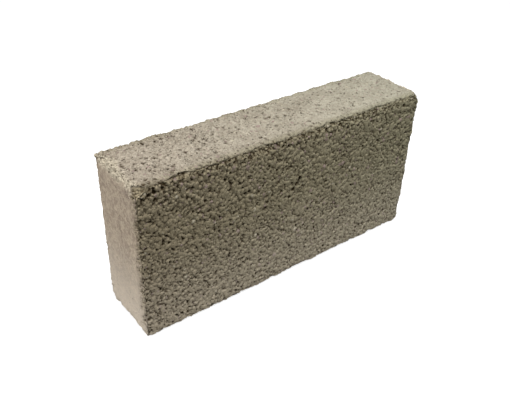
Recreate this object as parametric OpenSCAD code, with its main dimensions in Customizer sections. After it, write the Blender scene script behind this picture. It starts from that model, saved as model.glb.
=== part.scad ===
// Solid dense aggregate concrete block, pressed in one piece.
// It stands as it is laid: the origin is under the middle of the bottom bed,
// +X runs along the wall, +Y goes back through it and +Z is up.
// Sizes are in millimetres.

/* [Block] */
// Length along the wall
block_l = 440; // [290:5:600]
// Thickness through the wall
block_t = 100; // [75:5:215]
// Height of one course, without its mortar
block_h = 215; // [140:5:300]

/* [Arrises] */
// Radius of the four upright arrises, left by the mould's corners
upright_r = 4; // [1:0.5:10]
// Radius of the arrises round the top bed, dulled by the tamper and by handling
top_r = 5; // [1:0.5:10]
// Radius of the arrises round the bottom bed, where the block stood on its pallet
bottom_r = 2.5; // [1:0.5:8]

/* [Knocked corners and arrises] */
// Radius of the hollow that the hardest knock leaves
knock_r = 22; // [12:1:40]
// How deep the hardest knock goes in from the sharp corner
knock_depth = 11; // [8:0.5:16]

/* [Hidden] */
$fn = 64;

// How far a cutting prism runs past the block at each end
overrun = 10;

// Each knock sits on a corner or an arris. Its place is a share of the length
// from the left end, of the thickness from the front and of the height from the
// bottom, and a 0 or 1 there is an outer face. The last two are shares of
// knock_r and knock_depth.
knock_shares = [
    [0, 0, 1, 1, 1],
    [1, 0, 1, 0.7, 0.8],
    [1, 1, 1, 0.8, 0.75],
    [0, 1, 0, 0.75, 0.8],
    [1, 0, 0, 0.6, 0.6],
    [0, 0.78, 1, 0.7, 0.38],
    [0, 0, 0.42, 2.6, 0.3],
    [0.13, 0, 1, 1.5, 0.44],
    [0.38, 0, 1, 3, 0.33],
    [0.62, 0, 1, 1.1, 0.36],
    [0.81, 0, 1, 2.2, 0.37],
    [0.3, 1, 1, 2.4, 0.35],
    [0.7, 1, 1, 1.3, 0.38],
    [1, 0.4, 1, 1.6, 0.36],
    [0.55, 0, 0, 1.8, 0.24],
    [0.2, 1, 0, 1.4, 0.26],
];

// Rectangle a by b about the origin, with true arcs at its corners. The two
// corners at the high end of b have radius high_r and the other two low_r.
module rounded_rectangle(a, b, low_r, high_r) {
    difference() {
        square([a, b], center = true);
        for (side = [-1, 1]) {
            square_corner(side * a / 2, b / 2, high_r, -side, -1);
            square_corner(side * a / 2, -b / 2, low_r, -side, 1);
        }
    }
}

// The sliver that an arc of radius r takes off the square corner at x, y.
// in_x and in_y are 1 or -1 and point from the corner into the rectangle.
module square_corner(x, y, r, in_x, in_y) {
    difference() {
        translate([x + in_x * (r - overrun) / 2, y + in_y * (r - overrun) / 2])
            square(r + overrun, center = true);
        translate([x + in_x * r, y + in_y * r])
            circle(r);
    }
}

// The block before any knocks: its plan, its long face and its end, each
// carried right through, keep only what all three share.
module pressed_block() {
    intersection() {
        linear_extrude(block_h)
            rounded_rectangle(block_l, block_t, upright_r, upright_r);
        translate([0, block_t / 2 + overrun, block_h / 2])
            rotate([90, 0, 0])
                linear_extrude(block_t + 2 * overrun)
                    rounded_rectangle(block_l, block_h, bottom_r, top_r);
        translate([-block_l / 2 - overrun, 0, block_h / 2])
            rotate([90, 0, 90])
                linear_extrude(block_l + 2 * overrun)
                    rounded_rectangle(block_t, block_h, bottom_r, top_r);
    }
}

// -1, 0 or 1: the way out of the block along one axis at a share of its size
function way_out(share) = share == 0 ? -1 : share == 1 ? 1 : 0;

// The ball that leaves the hollow of one knock
module knock(row) {
    place = [
        (row[0] - 0.5) * block_l,
        (row[1] - 0.5) * block_t,
        row[2] * block_h,
    ];
    out = [for (i = [0:2]) way_out(row[i])];
    r = row[3] * knock_r;
    depth = row[4] * knock_depth;
    translate(place + out / norm(out) * (r - depth))
        sphere(r);
}

module block() {
    color("#8f8a7c")
        difference() {
            pressed_block();
            for (row = knock_shares)
                knock(row);
        }
}

block();
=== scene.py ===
"""Looks of a solid dense aggregate concrete block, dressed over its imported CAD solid.

The block is pressed from semi-dry concrete in one mould, so it is one piece. Its long faces keep the
open grain of the mix, the tamper closes the beds to a skin with pits, and slurry smooths the ends.
"""

import math

import bpy
import numpy as np
from mathutils import Matrix, Vector


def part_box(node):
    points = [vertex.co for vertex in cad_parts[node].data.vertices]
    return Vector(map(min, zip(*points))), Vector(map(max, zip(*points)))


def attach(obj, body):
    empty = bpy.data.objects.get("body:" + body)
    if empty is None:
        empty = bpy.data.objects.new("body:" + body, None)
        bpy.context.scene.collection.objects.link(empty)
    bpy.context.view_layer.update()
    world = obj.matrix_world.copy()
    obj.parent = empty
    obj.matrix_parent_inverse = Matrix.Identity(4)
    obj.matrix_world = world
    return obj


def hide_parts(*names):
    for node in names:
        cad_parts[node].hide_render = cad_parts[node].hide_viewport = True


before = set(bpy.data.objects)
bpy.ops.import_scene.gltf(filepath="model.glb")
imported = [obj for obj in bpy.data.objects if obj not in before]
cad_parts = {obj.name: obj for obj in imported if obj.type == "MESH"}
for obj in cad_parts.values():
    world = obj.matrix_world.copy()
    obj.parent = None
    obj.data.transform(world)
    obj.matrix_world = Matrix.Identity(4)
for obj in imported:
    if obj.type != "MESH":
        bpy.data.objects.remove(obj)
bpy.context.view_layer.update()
block_low, block_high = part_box("block")
block_middle = (block_low + block_high) / 2
block_size = block_high - block_low

MM = 0.001

# Sockets of a Mix node for numbers and for colours, and what a mix of colours is set to
SHARE, FROM, TO = 0, 2, 3
COLOUR_FROM, COLOUR_TO = 6, 7
COLOUR_MIX = {"output": 2, "data_type": "RGBA"}

# Ranges for Map Range nodes: where a noise mostly lies, a fall from 1 to 0, and where the look of the
# block's left gives way to that of its right, with -1 and 1 at the ends
NOISE_RANGE = {"From Min": 0.3, "From Max": 0.7}
FALLING = {"To Min": 1.0, "To Max": 0.0}
LEFT_TO_RIGHT = {"From Min": -0.8, "From Max": 0.6}
NOISE_MIDDLE = (0.5, 0.5, 0.5)

# Mesh of the block
VOXEL = 1.0 * MM
TRIANGLES = 196_000
WELD = 0.01 * MM

# Depth that all heights and levels below are shares of
OPEN_DEPTH = 4.5 * MM

# Grains of the mix, and the grit that is too fine for the mesh: each layer's spacing, its least and
# greatest radius as shares of that, and the highest and the lowest that the tops of its grains lie
GRAINS = (
    (5.8 * MM, 0.4, 0.66, 0.0, -0.22),
    (3.8 * MM, 0.45, 0.72, -0.03, -0.32),
    (2.8 * MM, 0.42, 0.7, -0.1, -0.5),
    (2.1 * MM, 0.4, 0.7, -0.2, -0.7),
)
GRIT = (
    (2.4 * MM, 0.45, 0.78, 0.0, -0.3),
    (1.7 * MM, 0.4, 0.78, 0.0, -0.6),
)

# What lies under the grains: the size of its lumps, its lowest and highest level, and its tone
MATRIX_SIZE = 5 * MM
MATRIX_DEPTHS = (-1.3, -0.7)
MATRIX_TONE = 0.5

# Factor on the grains' radii at the left and at the right, and what patches and gaps add to it
CLOSENESS = (1.02, 1.01)
PATCH_CLOSENESS = 0.05
GAP_CLOSENESS = -0.1

# Form of a grain: its rise as a share of its spacing, the power that flattens its top, how softly it
# meets its neighbours and the fines, and the size and the depth of the noise that bends it out of round
ROUNDNESS = 0.55
FLATNESS = 3.0
PASTE_FILLET = 0.03
FINES_FILLET = 0.08
WARP_SIZE = 8 * MM
WARP = 1.2 * MM

# Seed of the mix, and how far through the mix a step of it takes the block, in metres
SEED = 7.0
SEED_STEP = (1.7, 2.9, 4.3)

# Share of the grit's height that shows on open faces, beds and ends, the lowest that it goes, and the
# strength of the bump, which adds the grit and sharpens the grains that the mesh already has
OPEN_GRIT = 0.47
BED_GRIT = 0.38
END_GRIT = 0.6
GRIT_FLOOR = -0.5
GRAIN_BUMP = 0.8
GRIT_BUMP = 1.0

# Edges of the skins on the ends and beds: how far in from the long faces they start, at least and at
# most, and half the width over which they fade
RAGGED_SIZE = 8 * MM
RAGGED_ROUGHNESS = 0.6
SLURRY_EDGE = (-1 * MM, 13 * MM, 6 * MM)
TAMPED_EDGE = (-2 * MM, 7 * MM, 3.5 * MM)

# Border between the skins of bed and end: half the width over which they blend, and how far it wanders
ARRIS_BLEND = 2.5 * MM
ARRIS_WANDER = 5 * MM

# How deep a knock in the solid is where the skin starts to break, and where it is gone
BROKEN_FROM = 2.2 * MM
BROKEN_TO = 4.0 * MM

# Level of the fines between the grains: on long faces and beds at the left and at the right, on ends and
# on broken corners, how much it wanders, and how much it rises along the rims of the beds
OPEN_LEVELS = (-0.66, -0.64)
BED_LEVELS = (-0.43, -0.24)
END_LEVEL = -0.06
BROKEN_LEVEL = -0.5
PATCH_SIZE = 35 * MM
PATCH_RISE = 0.08
RIM_RISE = 0.05
RIM_REACH = 15 * MM
RIM_FULL_TO = 0.15 * RIM_REACH

# Gaps that the mix leaves in the long faces: under the top and by the ends, most of them at the left,
# and right under the top arris all along
GAP_SIZE = 10 * MM
GAP_RANGE = {"From Min": 0.35, "From Max": 0.6}
GAP_SINK = -0.25
GAP_UNDER_TOP = 30 * MM
GAP_FROM_END = 25 * MM
GAP_END_SHARE = 0.45
GAPS_AT_LEFT = {"From Min": -0.3, "From Max": 0.3, "To Min": 1.0, "To Max": 0.3}
ARRIS_GAP_FROM = 5 * MM
ARRIS_GAP_TO = 16 * MM

# Round holes: the least radius as a share of the greatest, and the share of its radius within which a
# hole is at its deepest
HOLE_LEAST = 0.3
HOLE_FLOOR = 0.4

# Pits that the press leaves in the long faces and, wide at the left and fine at the right, in the beds,
# specks in the beds and pores in the slurry, each with its spacing and its greatest radius as a share of
# that
OPEN_PIT_SPACING = 7 * MM
OPEN_PIT_RADIUS = 0.37
OPEN_PIT_DEPTH = 0.65
PIT_SPACING = 7 * MM
PIT_RADIUS_LEFT = 0.54
PIT_RADIUS_RIGHT = 0.4
PIT_DEPTH = 0.4
PIT_CLUSTER = 24 * MM
CLUSTER_RANGE = {"From Min": 0.35, "From Max": 0.65, "To Min": 0.6, "To Max": 1.2}
SPECK_SPACING = 3.6 * MM
SPECK_RADIUS = 0.37
PORE_SPACING = 8 * MM
PORE_RADIUS = 0.16

# Voids in the front face, each by its place along and up and its radius, in mm: a slanted chain near the
# middle, and three by the left top corner. Then their depth in depths of an open pit, and the share of
# its radius within which a void is at its deepest.
VOIDS = (
    (8, 150, 3.6), (5.5, 146.5, 3.0), (3, 143, 3.6), (-2, 136.5, 3.4), (-8, 127, 2.8),
    (-203, 202, 2.6), (-196, 203.5, 3.0), (-186, 204, 2.4))
VOID_SHARE = 1.3
VOID_FLOOR = 0.5

# Wear of all arrises, in chips: how deep it goes and how far in it starts
CHIP_SIZE = 18 * MM
CHIP_ROUGHNESS = 0.6
CHIP_RANGE = {"From Min": 0.3, "From Max": 0.8}
ARRIS_WEAR = 4.8 * MM
ARRIS_REACH = 11.0 * MM

# Pale line where bed and end meet: how wide it is, how ragged, and how much lower its fines lie
ARRIS_PALE_REACH = 12 * MM
ARRIS_PALE_FULL_TO = 0.3 * ARRIS_PALE_REACH
ARRIS_RAGGED = 4 * MM
ARRIS_SINK = -0.34

# Map to bake through: a square sheet with the six faces side by side
SHEET = 650 * MM
SHEET_GAP = 4 * MM

# Camera, fitted to the block's edges in the photograph
FRAME_WIDTH_PX = 510
FOCAL_PX = 627
SENSOR = 36.0
CAMERA_AZIMUTH = math.radians(-37.95)
CAMERA_ELEVATION = math.radians(34.35)
CAMERA_ROLL = math.radians(-2.05)
CAMERA_DISTANCE = 840 * MM
BLOCK_RIGHT_OF_AXIS = 20 * MM
BLOCK_ABOVE_AXIS = 18 * MM

# Colours of the concrete
PASTE = "#ada388"
PASTE_DARK = "#8a8067"
TAMPED = "#c4bba9"
TAMPED_DARK = "#8f8574"
SLURRY = "#c7b7a0"
SLURRY_DARK = "#837468"
# Painted shade along the rims of the beds, where the rounded arrises turn away from the light
RIM_PAINTED_SHADE = "#a29a82"
RIM_PAINTED_SHADE_DARK = "#8c856e"
PALE_ARRIS = "#c0b5a0"
# Painted light thrown up from the floor, paler towards the foot
FOOT_PAINTED_LIGHT = "#cec2b3"
PALE_STONE = "#bab19b"
RUSTY_STONE = "#98877d"

# Painted shade, dark, in the hollows, where the mesh's grain casts too little shadow: the levels at
# which it starts and is full, and how far it covers the paste
HOLLOW_PAINTED_SHADE = "#38280a"
HOLLOW_FROM = -0.4
HOLLOW_TO = -0.85
HOLLOW_SHARE = 0.93

# Tint over the paste and the beds, at the left end and at the right
TINT_LEFT = "#f3efef"
TINT_RIGHT = "#f9fffe"

# How the tones are spread: the coarse grains' share of the tone, the shares that clouds and runs take of
# it, and the tones of a grain from which a stone is pale and up to which it is rusty
GRAIN_TONE_SHARE = 0.5
CLOUD_SIZE = 25 * MM
CLOUD_SHARE = 0.35
SLURRY_CLOUD_SHARE = 0.25
RUN_SIZE = (33 * MM, 33 * MM, 110 * MM)
RUN_SHARE = 0.2
PALE_STONES_FROM = 0.995
RUSTY_STONES_TO = 0.03

# Painted light thrown up from the floor, paler towards the foot: how far up it goes, and how strong it
# is on long faces and ends
FOOT_SHARE_OF_HEIGHT = 0.7
FOOT_ON_FACES = 0.36
FOOT_ON_ENDS = 0.7

# Dry, matt surface
ROUGHNESS = 0.92
SPECULAR = 0.25

# Floor: what it throws back on the block, pale up to one distance and grey from another, in metres, and
# what the camera sees
FLOOR_HALF = 4.0
FLOOR_PALE = "#dcdcd8"
FLOOR_PALE_TO = 0.2
FLOOR_GREY = "#60605c"
FLOOR_GREY_FROM = 0.6
FLOOR_SHOWN = "#bababa"
FLOOR_GLOW = 0.8

# Even light from all round, and the soft boxes: name, place and width in metres, and power in watts
FILL_LIGHT = 0.15
LIGHTS = (
    ("overhead", (-0.02, -0.4, 1.62), 0.7, 26),
    ("left", (-1.5, 0.3, 0.7), 1.0, 17.2),
)


def linear(hex_colour):
    """An sRGB hex colour as linear RGBA."""
    shares = [int(hex_colour[i:i + 2], 16) / 255 for i in (1, 3, 5)]
    return [c / 12.92 if c <= 0.04045 else ((c + 0.055) / 1.055) ** 2.4 for c in shares] + [1.0]


def add(tree, kind, inputs=(), output=0, **settings):
    """Adds a node with its settings, fills its inputs with values, hex colours or other nodes' outputs,
    by name or in order, and returns one of its outputs."""
    node = tree.nodes.new(kind)
    for name, value in settings.items():
        setattr(node, name, value)
    pairs = inputs.items() if isinstance(inputs, dict) else enumerate(inputs)
    for key, value in pairs:
        if isinstance(value, bpy.types.NodeSocket):
            tree.links.new(value, node.inputs[key])
        elif isinstance(value, str) and value.startswith("#"):
            node.inputs[key].default_value = linear(value)
        else:
            node.inputs[key].default_value = value
    return node.outputs[output] if node.outputs else node


def in_the_mix(tree, place, seed):
    """The place in the mix that a place on the block is cast from, bent so that no grain is round."""
    shift = add(tree, "ShaderNodeVectorMath", {"Vector": SEED_STEP, "Scale": seed}, operation="SCALE")
    place = add(tree, "ShaderNodeVectorMath", (place, shift), operation="ADD")
    bend = add(tree, "ShaderNodeTexNoise", {
        "Vector": place, "Scale": 1 / WARP_SIZE, "Detail": 1.0}, "Color")
    bend = add(tree, "ShaderNodeVectorMath", (bend, NOISE_MIDDLE), operation="SUBTRACT")
    return add(tree, "ShaderNodeVectorMath", (bend, (WARP, WARP, WARP), place), operation="MULTIPLY_ADD")


def packed_grains(tree, place, layers, closeness):
    """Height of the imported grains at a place, 0 at the highest tops and in shares of the open depth
    below that, and a tone: a chance number that is the same all over one grain."""
    matrix = add(tree, "ShaderNodeTexNoise", {"Vector": place, "Scale": 1 / MATRIX_SIZE, "Detail": 2.0})
    height = add(tree, "ShaderNodeMapRange", {
        "Value": matrix, **NOISE_RANGE, "To Min": MATRIX_DEPTHS[0], "To Max": MATRIX_DEPTHS[1]})
    tone = MATRIX_TONE
    for grain, least, greatest, highest, lowest in layers:
        cell = add(tree, "ShaderNodeTexVoronoi", {"Vector": place, "Scale": 1 / grain}, "Distance")
        chance = add(tree, "ShaderNodeSeparateXYZ", (cell.node.outputs["Color"],)).node.outputs
        radius = add(tree, "ShaderNodeMapRange", {
            "Value": chance[0], "To Min": least, "To Max": greatest})
        radius = add(tree, "ShaderNodeMath", (radius, closeness), operation="MULTIPLY")
        ratio = add(tree, "ShaderNodeMath", (cell, radius), operation="DIVIDE")
        outside = add(tree, "ShaderNodeMath", (ratio, FLATNESS), operation="POWER")
        inside = add(tree, "ShaderNodeMath", (1.0, outside), operation="SUBTRACT", use_clamp=True)
        dome = add(tree, "ShaderNodeMath", (inside,), operation="SQRT")
        rise = ROUNDNESS * grain / OPEN_DEPTH
        below = add(tree, "ShaderNodeMapRange", {"Value": dome, "To Min": -rise, "To Max": 0.0})
        top = add(tree, "ShaderNodeMapRange", {"Value": chance[1], "To Min": highest, "To Max": lowest})
        top = add(tree, "ShaderNodeMath", (top, below), operation="ADD")
        over = add(tree, "ShaderNodeMath", (top, height), operation="GREATER_THAN")
        tone = add(tree, "ShaderNodeMix", {SHARE: over, FROM: tone, TO: chance[2]})
        height = add(tree, "ShaderNodeMath", (height, top, PASTE_FILLET), operation="SMOOTH_MAX")
    return height, tone


def holes(tree, place, spacing, greatest):
    """Small round holes at a place, from 0 on the skin to 1 in the middle of a hole."""
    cell = add(tree, "ShaderNodeTexVoronoi", {"Vector": place, "Scale": 1 / spacing}, "Distance")
    chance = add(tree, "ShaderNodeSeparateXYZ", (cell.node.outputs["Color"],))
    radius = add(tree, "ShaderNodeMapRange", {"Value": chance, "To Min": HOLE_LEAST})
    radius = add(tree, "ShaderNodeMath", (radius, greatest), operation="MULTIPLY")
    ratio = add(tree, "ShaderNodeMath", (cell, radius), operation="DIVIDE")
    return add(tree, "ShaderNodeMapRange", {"Value": ratio, "From Min": 1.0, "From Max": HOLE_FLOOR})


def where_on_block(tree, place, half):
    """Distances in from the ends, the long faces and the beds, how far along the block a place is, from
    -1 at the left to 1 at the right, and how far below the top."""
    off_middle = add(tree, "ShaderNodeVectorMath", (half, (0, 0, -1), place), operation="MULTIPLY_ADD")
    away = add(tree, "ShaderNodeVectorMath", (off_middle,), operation="ABSOLUTE")
    inset = add(tree, "ShaderNodeVectorMath", (half, away), operation="SUBTRACT")
    inset = add(tree, "ShaderNodeSeparateXYZ", (inset,)).node.outputs
    along = add(tree, "ShaderNodeVectorMath", (off_middle, half), operation="DIVIDE")
    along = add(tree, "ShaderNodeSeparateXYZ", (along,), "X")
    below_top = add(tree, "ShaderNodeVectorMath", (half, off_middle), operation="SUBTRACT")
    below_top = add(tree, "ShaderNodeSeparateXYZ", (below_top,), "Z")
    return inset["X"], inset["Y"], inset["Z"], along, below_top


def closed_skins(tree, place, in_x, in_y, in_z):
    """How far slurry closes an end, how far the tamper closes a bed, how whole the block is, and how far
    the border between bed and end wanders, at a place."""
    ragged = add(tree, "ShaderNodeTexNoise", {
        "Vector": place, "Scale": 1 / RAGGED_SIZE, "Detail": 3.0, "Roughness": RAGGED_ROUGHNESS})
    lost = add(tree, "ShaderNodeMath", (in_x, in_y), operation="MINIMUM")
    lost = add(tree, "ShaderNodeMath", (lost, in_z), operation="MINIMUM")
    whole = add(tree, "ShaderNodeMapRange", {
        "Value": lost, "From Min": BROKEN_FROM, "From Max": BROKEN_TO, **FALLING})
    wander = add(tree, "ShaderNodeMapRange", {
        "Value": ragged, **NOISE_RANGE, "To Min": -ARRIS_WANDER, "To Max": ARRIS_WANDER}, clamp=False)
    skins = []
    kinds = ((in_x, in_z, -1.0, SLURRY_EDGE), (in_z, in_x, 1.0, TAMPED_EDGE))
    for own, across, way, (least, greatest, fade) in kinds:
        edge = add(tree, "ShaderNodeMapRange", {
            "Value": ragged, **NOISE_RANGE, "To Min": least, "To Max": greatest}, clamp=False)
        past_edge = add(tree, "ShaderNodeMath", (in_y, own), operation="SUBTRACT")
        past_edge = add(tree, "ShaderNodeMath", (past_edge, edge), operation="SUBTRACT")
        skin = add(tree, "ShaderNodeMapRange", {
            "Value": past_edge, "From Min": -fade, "From Max": fade}, interpolation_type="SMOOTHSTEP")
        past_arris = add(tree, "ShaderNodeMath", (across, own), operation="SUBTRACT")
        past_arris = add(tree, "ShaderNodeMath", (wander, way, past_arris), operation="MULTIPLY_ADD")
        own_side = add(tree, "ShaderNodeMapRange", {
            "Value": past_arris, "From Min": -ARRIS_BLEND, "From Max": ARRIS_BLEND},
            interpolation_type="SMOOTHSTEP")
        skin = add(tree, "ShaderNodeMath", (skin, own_side), operation="MULTIPLY")
        skins.append(add(tree, "ShaderNodeMath", (skin, whole), operation="MULTIPLY"))
    return skins[0], skins[1], whole, wander


def mix_gaps(tree, place, in_x, along, below_top):
    """How far the mix left gaps at a place, under the top, by the ends and right under the top arris."""
    gaps = add(tree, "ShaderNodeTexNoise", {"Vector": place, "Scale": 1 / GAP_SIZE, "Detail": 2.0})
    gaps = add(tree, "ShaderNodeMapRange", {"Value": gaps, **GAP_RANGE})
    under_top = add(tree, "ShaderNodeMapRange", {
        "Value": below_top, "From Min": 0.0, "From Max": GAP_UNDER_TOP, **FALLING})
    by_end = add(tree, "ShaderNodeMapRange", {
        "Value": in_x, "From Min": 0.0, "From Max": GAP_FROM_END,
        "To Min": GAP_END_SHARE, "To Max": 0.0})
    near = add(tree, "ShaderNodeMath", (under_top, by_end), operation="MAXIMUM")
    at_left = add(tree, "ShaderNodeMapRange", {"Value": along, **GAPS_AT_LEFT})
    near = add(tree, "ShaderNodeMath", (near, at_left), operation="MULTIPLY")
    under_arris = add(tree, "ShaderNodeMapRange", {
        "Value": below_top, "From Min": ARRIS_GAP_FROM, "From Max": ARRIS_GAP_TO, **FALLING})
    near = add(tree, "ShaderNodeMath", (near, under_arris), operation="MAXIMUM")
    return add(tree, "ShaderNodeMath", (gaps, near), operation="MULTIPLY")


def pressed_surface(tree, place, half, seed):
    """The marks of the press at a place on the block, by name: where the place lies in the mix and on
    the block, the skins, the bed's rim, the pale arris, the height of the face in shares of the open
    depth, and the tone of the grain."""
    in_x, in_y, in_z, along, below_top = where_on_block(tree, place, half)
    slurry, tamped, whole, wander = closed_skins(tree, place, in_x, in_y, in_z)
    mix_place = in_the_mix(tree, place, seed)

    # Level of the fines between the grains
    open_level, bed_level = (
        add(tree, "ShaderNodeMapRange", {
            "Value": along, **LEFT_TO_RIGHT, "To Min": left, "To Max": right})
        for left, right in (OPEN_LEVELS, BED_LEVELS))
    fines = add(tree, "ShaderNodeMix", {SHARE: tamped, FROM: open_level, TO: bed_level})
    patches = add(tree, "ShaderNodeTexNoise", {"Vector": place, "Scale": 1 / PATCH_SIZE, "Detail": 2.0})
    patches = add(tree, "ShaderNodeMapRange", {"Value": patches, **NOISE_RANGE, "To Min": -1.0})
    closed = add(tree, "ShaderNodeMath", (slurry, tamped), operation="MAXIMUM")
    is_open = add(tree, "ShaderNodeMath", (whole, closed), operation="SUBTRACT", use_clamp=True)
    gaps = mix_gaps(tree, place, in_x, along, below_top)
    gaps = add(tree, "ShaderNodeMath", (gaps, is_open), operation="MULTIPLY")
    # Rims of the beds, where the fines rise and where the colour has painted shade
    rim = add(tree, "ShaderNodeMapRange", {
        "Value": in_y, "From Min": RIM_FULL_TO, "From Max": RIM_REACH, **FALLING})
    rim = add(tree, "ShaderNodeMath", (rim, tamped), operation="MULTIPLY")
    open_pits = holes(tree, mix_place, OPEN_PIT_SPACING, OPEN_PIT_RADIUS)
    open_pits = add(tree, "ShaderNodeMath", (open_pits, is_open), operation="MULTIPLY")
    for across, up, radius in VOIDS:
        middle = (across * MM, block_low.y, up * MM)
        apart = add(tree, "ShaderNodeVectorMath", (place, middle), "Value", operation="DISTANCE")
        void = add(tree, "ShaderNodeMapRange", {
            "Value": apart, "From Min": radius * MM, "From Max": VOID_FLOOR * radius * MM,
            "To Max": VOID_SHARE})
        open_pits = add(tree, "ShaderNodeMath", (open_pits, void), operation="MAXIMUM")
    for share, rise in ((patches, PATCH_RISE), (rim, RIM_RISE)):
        fines = add(tree, "ShaderNodeMath", (share, rise, fines), operation="MULTIPLY_ADD")
    fines = add(tree, "ShaderNodeMix", {SHARE: slurry, FROM: fines, TO: END_LEVEL})
    fines = add(tree, "ShaderNodeMix", {SHARE: whole, FROM: BROKEN_LEVEL, TO: fines})

    # Ragged pale line where bed and end meet
    arris = add(tree, "ShaderNodeMath", (in_x, in_z), operation="ADD")
    arris = add(tree, "ShaderNodeMath", (patches, ARRIS_RAGGED, arris), operation="MULTIPLY_ADD")
    arris = add(tree, "ShaderNodeMath", (arris, wander), operation="ADD")
    arris = add(tree, "ShaderNodeMapRange", {
        "Value": arris, "From Min": ARRIS_PALE_FULL_TO, "From Max": ARRIS_PALE_REACH, **FALLING})
    arris = add(tree, "ShaderNodeMath", (arris, closed), operation="MULTIPLY")
    fines = add(tree, "ShaderNodeMath", (arris, ARRIS_SINK, fines), operation="MULTIPLY_ADD")

    # Pits that the tamper left in the beds, in clusters and away from the pale line
    radius = add(tree, "ShaderNodeMapRange", {
        "Value": along, "From Min": -1.0, "To Min": PIT_RADIUS_LEFT, "To Max": PIT_RADIUS_RIGHT})
    clusters = add(tree, "ShaderNodeTexNoise", {
        "Vector": mix_place, "Scale": 1 / PIT_CLUSTER, "Detail": 1.0})
    clusters = add(tree, "ShaderNodeMapRange", {"Value": clusters, **CLUSTER_RANGE})
    radius = add(tree, "ShaderNodeMath", (radius, clusters), operation="MULTIPLY")
    pits = holes(tree, mix_place, PIT_SPACING, radius)
    pits = add(tree, "ShaderNodeMath", (pits, tamped), operation="MULTIPLY")
    off_arris = add(tree, "ShaderNodeMath", (1.0, arris), operation="SUBTRACT", use_clamp=True)
    pits = add(tree, "ShaderNodeMath", (pits, off_arris), operation="MULTIPLY")

    # The grains lie closer in patches, and further apart round the gaps
    closeness = add(tree, "ShaderNodeMapRange", {
        "Value": along, **LEFT_TO_RIGHT, "To Min": CLOSENESS[0], "To Max": CLOSENESS[1]})
    for share, gain in ((patches, PATCH_CLOSENESS), (gaps, GAP_CLOSENESS)):
        closeness = add(tree, "ShaderNodeMath", (share, gain, closeness), operation="MULTIPLY_ADD")
    grains, tone = packed_grains(tree, mix_place, GRAINS, closeness)
    height = add(tree, "ShaderNodeMath", (grains, fines, FINES_FILLET), operation="SMOOTH_MAX")
    for share, rise in ((pits, -PIT_DEPTH), (open_pits, -OPEN_PIT_DEPTH), (gaps, GAP_SINK)):
        height = add(tree, "ShaderNodeMath", (share, rise, height), operation="MULTIPLY_ADD")
    return {
        "mix_place": mix_place, "insets": (in_x, in_y, in_z), "along": along,
        "slurry": slurry, "tamped": tamped, "rim": rim, "arris": arris, "height": height, "tone": tone}


def relief_tree(material):
    """Geometry Nodes tree that presses the mix's grain into the block, inwards from the CAD faces."""
    tree = bpy.data.node_groups.new("pressed_grain", "GeometryNodeTree")
    tree.interface.new_socket("Geometry", in_out="INPUT", socket_type="NodeSocketGeometry")
    for name in ("Length", "Thickness", "Height", "Open Depth", "Arris Wear", "Arris Reach", "Seed"):
        tree.interface.new_socket(name, in_out="INPUT", socket_type="NodeSocketFloat")
    tree.interface.new_socket("Geometry", in_out="OUTPUT", socket_type="NodeSocketGeometry")
    given = add(tree, "NodeGroupInput").node.outputs

    place = add(tree, "GeometryNodeInputPosition")
    size = add(tree, "ShaderNodeCombineXYZ", (given["Length"], given["Thickness"], given["Height"]))
    half = add(tree, "ShaderNodeVectorMath", {"Vector": size, "Scale": 0.5}, operation="SCALE")
    marks = pressed_surface(tree, place, half, given["Seed"])

    # The nearest arris is as far away as the middle one of the three insets
    in_x, in_y, in_z = marks["insets"]
    nearer = add(tree, "ShaderNodeMath", (in_x, in_y), operation="MINIMUM")
    further = add(tree, "ShaderNodeMath", (in_x, in_y), operation="MAXIMUM")
    to_arris = add(tree, "ShaderNodeMath", (further, in_z), operation="MINIMUM")
    to_arris = add(tree, "ShaderNodeMath", (nearer, to_arris), operation="MAXIMUM")
    near_arris = add(tree, "ShaderNodeMapRange", {
        "Value": to_arris, "From Min": 0.0, "From Max": given["Arris Reach"], **FALLING},
        interpolation_type="SMOOTHSTEP")
    chips = add(tree, "ShaderNodeTexNoise", {
        "Vector": marks["mix_place"], "Scale": 1 / CHIP_SIZE, "Detail": 4.0,
        "Roughness": CHIP_ROUGHNESS})
    chips = add(tree, "ShaderNodeMapRange", {"Value": chips, **CHIP_RANGE})
    wear = add(tree, "ShaderNodeMath", (chips, near_arris), operation="MULTIPLY")
    wear = add(tree, "ShaderNodeMath", (wear, given["Arris Wear"]), operation="MULTIPLY")

    push = add(tree, "ShaderNodeMath", (marks["height"], given["Open Depth"]), operation="MULTIPLY")
    push = add(tree, "ShaderNodeMath", (push, wear), operation="SUBTRACT")
    normal = add(tree, "GeometryNodeInputNormal")
    offset = add(tree, "ShaderNodeVectorMath", {"Vector": normal, "Scale": push}, operation="SCALE")
    block = add(tree, "GeometryNodeStoreNamedAttribute", {
        "Geometry": given["Geometry"], "Name": "mould_place", "Value": place}, data_type="FLOAT_VECTOR")
    block = add(tree, "GeometryNodeSetPosition", {"Geometry": block, "Offset": offset})
    block = add(tree, "GeometryNodeRealizeInstances", {"Geometry": block})
    block = add(tree, "GeometryNodeSetMaterial", {"Geometry": block, "Material": material})
    add(tree, "NodeGroupOutput", (block,))
    return tree


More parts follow.
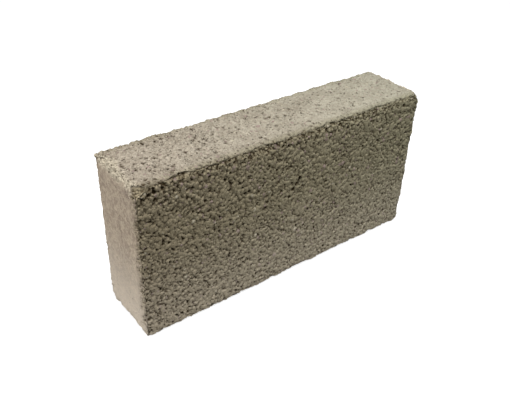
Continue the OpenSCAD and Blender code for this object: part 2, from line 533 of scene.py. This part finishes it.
def pressed_concrete():
    """Semi-dry pressed concrete: dry and matt, grey-brown paste over rounded grit, with painted shade in
    the hollows and on the beds' rims, paler where it is tamped, pinkish where slurry has dried on it,
    and with painted light from the floor towards the foot."""
    material = bpy.data.materials.new("pressed_concrete")
    material.use_nodes = True
    tree = material.node_tree
    tree.nodes.clear()
    place = add(tree, "ShaderNodeAttribute", output="Vector", attribute_name="mould_place")
    marks = pressed_surface(tree, place, block_size / 2, SEED)
    mix_place, slurry, tamped, tone = (marks[name] for name in ("mix_place", "slurry", "tamped", "tone"))

    # Level of the face with the grit, specks and pores that are too fine for the mesh
    grit, grit_tone = packed_grains(tree, mix_place, GRIT, 1.0)
    grit_share = add(tree, "ShaderNodeMix", {SHARE: tamped, FROM: OPEN_GRIT, TO: BED_GRIT})
    grit_share = add(tree, "ShaderNodeMix", {SHARE: slurry, FROM: grit_share, TO: END_GRIT})
    fine = add(tree, "ShaderNodeMath", (grit, GRIT_FLOOR), operation="MAXIMUM")
    fine = add(tree, "ShaderNodeMath", (fine, grit_share), operation="MULTIPLY")
    fine_holes = ((SPECK_SPACING, SPECK_RADIUS, tamped), (PORE_SPACING, PORE_RADIUS, slurry))
    for spacing, radius, skin in fine_holes:
        hole = holes(tree, mix_place, spacing, radius)
        hole = add(tree, "ShaderNodeMath", (hole, skin), operation="MULTIPLY")
        fine = add(tree, "ShaderNodeMath", (hole, -PIT_DEPTH, fine), operation="MULTIPLY_ADD")
    level = add(tree, "ShaderNodeMath", (marks["height"], fine), operation="ADD")
    # Painted shade: the colour darkens in the hollows, for shadow that the relief itself doesn't cast
    painted_hollow_shade = add(tree, "ShaderNodeMapRange", {
        "Value": level, "From Min": HOLLOW_FROM, "From Max": HOLLOW_TO, "To Max": HOLLOW_SHARE})

    # Tones of the paste and the slurry
    clouds = add(tree, "ShaderNodeTexNoise", {
        "Vector": mix_place, "Scale": 1 / CLOUD_SIZE, "Detail": 4.0})
    clouds = add(tree, "ShaderNodeMapRange", {"Value": clouds, **NOISE_RANGE})
    shade = add(tree, "ShaderNodeMix", {SHARE: GRAIN_TONE_SHARE, FROM: grit_tone, TO: tone})
    shade = add(tree, "ShaderNodeMix", {SHARE: CLOUD_SHARE, FROM: shade, TO: clouds})
    runs = add(tree, "ShaderNodeVectorMath", (place, RUN_SIZE), operation="DIVIDE")
    runs = add(tree, "ShaderNodeTexNoise", {"Vector": runs, "Scale": 1.0, "Detail": 3.0})
    runs = add(tree, "ShaderNodeMapRange", {"Value": runs, **NOISE_RANGE})
    slurry_shade = add(tree, "ShaderNodeMix", {SHARE: SLURRY_CLOUD_SHARE, FROM: tone, TO: clouds})
    slurry_shade = add(tree, "ShaderNodeMix", {SHARE: RUN_SHARE, FROM: slurry_shade, TO: runs})

    # Colour: paste, skins with painted shade on the beds' rims, odd stones, the pale arris, painted
    # light from the floor at the foot and painted shade in the hollows
    pairs = ((PASTE_DARK, PASTE), (TAMPED_DARK, TAMPED), (RIM_PAINTED_SHADE_DARK, RIM_PAINTED_SHADE))
    paste, bed, rim = (
        add(tree, "ShaderNodeMix", {SHARE: shade, COLOUR_FROM: dark, COLOUR_TO: pale}, **COLOUR_MIX)
        for dark, pale in pairs)
    end = add(tree, "ShaderNodeMix", {
        SHARE: slurry_shade, COLOUR_FROM: SLURRY_DARK, COLOUR_TO: SLURRY}, **COLOUR_MIX)
    pale_stones = add(tree, "ShaderNodeMath", (tone, PALE_STONES_FROM), operation="GREATER_THAN")
    rusty_stones = add(tree, "ShaderNodeMath", (tone, RUSTY_STONES_TO), operation="LESS_THAN")
    # Painted light from the floor: the colour is paler towards the foot
    up = add(tree, "ShaderNodeSeparateXYZ", (place,), "Z")
    painted_foot_light = add(tree, "ShaderNodeMapRange", {
        "Value": up, "From Max": FOOT_SHARE_OF_HEIGHT * block_size.z, **FALLING},
        interpolation_type="SMOOTHSTEP")
    foot_share = add(tree, "ShaderNodeMix", {SHARE: slurry, FROM: FOOT_ON_FACES, TO: FOOT_ON_ENDS})
    painted_foot_light = add(tree, "ShaderNodeMath", (painted_foot_light, foot_share), operation="MULTIPLY")
    # Painted shade along the rims of the beds
    bed = add(tree, "ShaderNodeMix", {
        SHARE: marks["rim"], COLOUR_FROM: bed, COLOUR_TO: rim}, **COLOUR_MIX)
    along = add(tree, "ShaderNodeMapRange", {"Value": marks["along"], "From Min": -1.0})
    tint = add(tree, "ShaderNodeMix", {
        SHARE: along, COLOUR_FROM: TINT_LEFT, COLOUR_TO: TINT_RIGHT}, **COLOUR_MIX)
    paste, bed = (
        add(tree, "ShaderNodeMix", {
            SHARE: 1.0, COLOUR_FROM: coat, COLOUR_TO: tint}, **COLOUR_MIX, blend_type="MULTIPLY")
        for coat in (paste, bed))
    colour = paste
    coats = (
        (tamped, bed), (pale_stones, PALE_STONE), (rusty_stones, RUSTY_STONE), (slurry, end),
        (marks["arris"], PALE_ARRIS), (painted_foot_light, FOOT_PAINTED_LIGHT), (painted_hollow_shade, HOLLOW_PAINTED_SHADE))
    for share, coat in coats:
        colour = add(tree, "ShaderNodeMix", {
            SHARE: share, COLOUR_FROM: colour, COLOUR_TO: coat}, **COLOUR_MIX)

    # Bump and finish
    shown = add(tree, "ShaderNodeMath", (marks["height"], GRAIN_BUMP), operation="MULTIPLY")
    shown = add(tree, "ShaderNodeMath", (fine, GRIT_BUMP, shown), operation="MULTIPLY_ADD")
    bump = add(tree, "ShaderNodeBump", {"Height": shown, "Distance": OPEN_DEPTH})
    shader = add(tree, "ShaderNodeBsdfPrincipled", {
        "Base Color": colour, "Roughness": ROUGHNESS, "Specular IOR Level": SPECULAR, "Normal": bump})
    add(tree, "ShaderNodeOutputMaterial", {"Surface": shader})
    return material


def settle(piece):
    """Makes what a piece's modifiers give its own plain mesh."""
    graph = bpy.context.evaluated_depsgraph_get()
    mesh = bpy.data.meshes.new_from_object(
        piece.evaluated_get(graph), preserve_all_data_layers=True, depsgraph=graph)
    piece.modifiers.clear()
    piece.data = mesh


def lay_out_faces(mesh):
    """Lays the six faces of the block side by side in a map to bake through."""
    places = np.empty(len(mesh.vertices) * 3, dtype=np.float32)
    mesh.attributes["mould_place"].data.foreach_get("vector", places)
    places = places.reshape(-1, 3) - np.array(block_middle)
    corners = np.empty(len(mesh.loops), dtype=np.int32)
    mesh.loops.foreach_get("vertex_index", corners)
    triangles = places[corners].reshape(-1, 3, 3)
    half = np.array(block_size) / 2
    middles = triangles.mean(axis=1)
    axis = np.argmin(half - np.abs(middles), axis=1)
    positive = middles[np.arange(len(middles)), axis] > 0
    uv = np.empty((len(triangles), 3, 2), dtype=np.float32)
    length, thickness, height = block_size
    row_2 = height + SHEET_GAP
    row_3 = row_2 + height + SHEET_GAP
    row_4 = row_3 + thickness + SHEET_GAP
    column_2 = length + SHEET_GAP
    # Where each face goes on the sheet, by the axis that it lies across and whether it is the far one
    corner_of = {
        (1, False): (0, 0), (0, False): (column_2, 0),
        (1, True): (0, row_2), (0, True): (column_2, row_2),
        (2, True): (0, row_3), (2, False): (0, row_4)}
    for (across, side), corner in corner_of.items():
        on_face = (axis == across) & (positive == side)
        u, v = [i for i in range(3) if i != across]
        uv[on_face, :, 0] = triangles[on_face][:, :, u] + half[u] + corner[0]
        uv[on_face, :, 1] = triangles[on_face][:, :, v] + half[v] + corner[1]
    layer = mesh.uv_layers.new(name="OFBake")
    layer.data.foreach_set("uv", ((uv + SHEET_GAP / 2) / SHEET).ravel())


def make_block(material):
    """The block's CAD solid, remeshed finely and given the grain of its faces."""
    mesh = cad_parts["block"].data.copy()
    mesh.materials.clear()
    block = bpy.data.objects.new("concrete_block", mesh)
    bpy.context.scene.collection.objects.link(block)
    weld = block.modifiers.new("weld", "WELD")
    weld.merge_threshold = WELD
    remesh = block.modifiers.new("remesh", "REMESH")
    remesh.mode = "VOXEL"
    remesh.voxel_size = VOXEL
    tree = relief_tree(material)
    relief = block.modifiers.new("relief", "NODES")
    relief.node_group = tree
    values = {
        "Length": block_size.x, "Thickness": block_size.y, "Height": block_size.z,
        "Open Depth": OPEN_DEPTH, "Arris Wear": ARRIS_WEAR, "Arris Reach": ARRIS_REACH,
        "Seed": SEED}
    for item in tree.interface.items_tree:
        if item.in_out == "INPUT" and item.name in values:
            relief[item.identifier] = values[item.name]
    settle(block)
    # The remesh gives quads, of two triangles each
    thin = block.modifiers.new("thin", "DECIMATE")
    thin.ratio = TRIANGLES / (2 * len(block.data.polygons))
    thin.use_collapse_triangulate = True
    settle(block)
    block.data.shade_smooth()
    lay_out_faces(block.data)
    return block


def background_rays(tree):
    """1 for rays that should see a white background, from the camera or by a mirror or glass, else 0."""
    path = add(tree, "ShaderNodeLightPath").node.outputs
    seen = path["Is Camera Ray"]
    for name in ("Is Glossy Ray", "Is Transmission Ray"):
        seen = add(tree, "ShaderNodeMath", (seen, path[name]), operation="MAXIMUM")
    return seen


def make_floor():
    """Floor that is white to the camera, and to the block pale near it and grey further off."""
    corners = [(x * FLOOR_HALF, y * FLOOR_HALF, 0) for x, y in ((-1, -1), (1, -1), (1, 1), (-1, 1))]
    mesh = bpy.data.meshes.new("floor")
    mesh.from_pydata(corners, [], [(0, 1, 2, 3)])
    floor = bpy.data.objects.new("floor", mesh)
    bpy.context.scene.collection.objects.link(floor)
    material = bpy.data.materials.new("white_floor")
    material.use_nodes = True
    tree = material.node_tree
    tree.nodes.clear()
    seen = background_rays(tree)
    place = add(tree, "ShaderNodeTexCoord", output="Object")
    apart = add(tree, "ShaderNodeVectorMath", (place,), "Value", operation="LENGTH")
    near = add(tree, "ShaderNodeMapRange", {
        "Value": apart, "From Min": FLOOR_PALE_TO, "From Max": FLOOR_GREY_FROM, **FALLING})
    colour = add(tree, "ShaderNodeMix", {
        SHARE: near, COLOUR_FROM: FLOOR_GREY, COLOUR_TO: FLOOR_PALE}, **COLOUR_MIX)
    colour = add(tree, "ShaderNodeMix", {
        SHARE: seen, COLOUR_FROM: colour, COLOUR_TO: FLOOR_SHOWN}, **COLOUR_MIX)
    matt = add(tree, "ShaderNodeBsdfDiffuse", {"Color": colour})
    strength = add(tree, "ShaderNodeMath", (seen, FLOOR_GLOW), operation="MULTIPLY")
    glow = add(tree, "ShaderNodeEmission", {"Color": "#ffffff", "Strength": strength})
    surface = add(tree, "ShaderNodeAddShader", (matt, glow))
    add(tree, "ShaderNodeOutputMaterial", {"Surface": surface})
    mesh.materials.append(material)


def make_light(name, place, size, power):
    """A square soft box at a place, turned to the block."""
    lamp = bpy.data.lights.new(name, "AREA")
    lamp.size = size
    lamp.energy = power
    light = bpy.data.objects.new(name, lamp)
    light.location = place
    light.rotation_euler = (block_middle - Vector(place)).to_track_quat("-Z", "Y").to_euler()
    bpy.context.scene.collection.objects.link(light)


def make_world():
    """White to the camera, and a weak even fill to everything else."""
    world = bpy.data.worlds.new("studio")
    world.use_nodes = True
    tree = world.node_tree
    tree.nodes.clear()
    strength = add(tree, "ShaderNodeMapRange", {
        "Value": background_rays(tree), "To Min": FILL_LIGHT, "To Max": 1.0})
    sky = add(tree, "ShaderNodeBackground", {"Color": "#ffffff", "Strength": strength})
    add(tree, "ShaderNodeOutputWorld", {"Surface": sky})
    bpy.context.scene.world = world


def make_camera():
    """The photograph's view, with the block a little right of and above the camera's axis."""
    level = math.cos(CAMERA_ELEVATION)
    back = Vector((
        math.sin(CAMERA_AZIMUTH) * level, -math.cos(CAMERA_AZIMUTH) * level, math.sin(CAMERA_ELEVATION)))
    turn = back.to_track_quat("Z", "Y").to_matrix() @ Matrix.Rotation(-CAMERA_ROLL, 3, "Z")
    data = bpy.data.cameras.new("camera")
    data.sensor_width = SENSOR
    data.lens = FOCAL_PX / FRAME_WIDTH_PX * SENSOR
    camera = bpy.data.objects.new("camera", data)
    aim = turn @ Vector((BLOCK_RIGHT_OF_AXIS, BLOCK_ABOVE_AXIS, -CAMERA_DISTANCE))
    camera.matrix_world = Matrix.Translation(block_middle - aim) @ turn.to_4x4()
    bpy.context.scene.collection.objects.link(camera)
    bpy.context.scene.camera = camera


make_camera()
block = make_block(pressed_concrete())
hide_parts("block")
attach(block, "root")
make_floor()
make_world()
for light in LIGHTS:
    make_light(*light)
bpy.context.scene.view_settings.view_transform = "Standard"
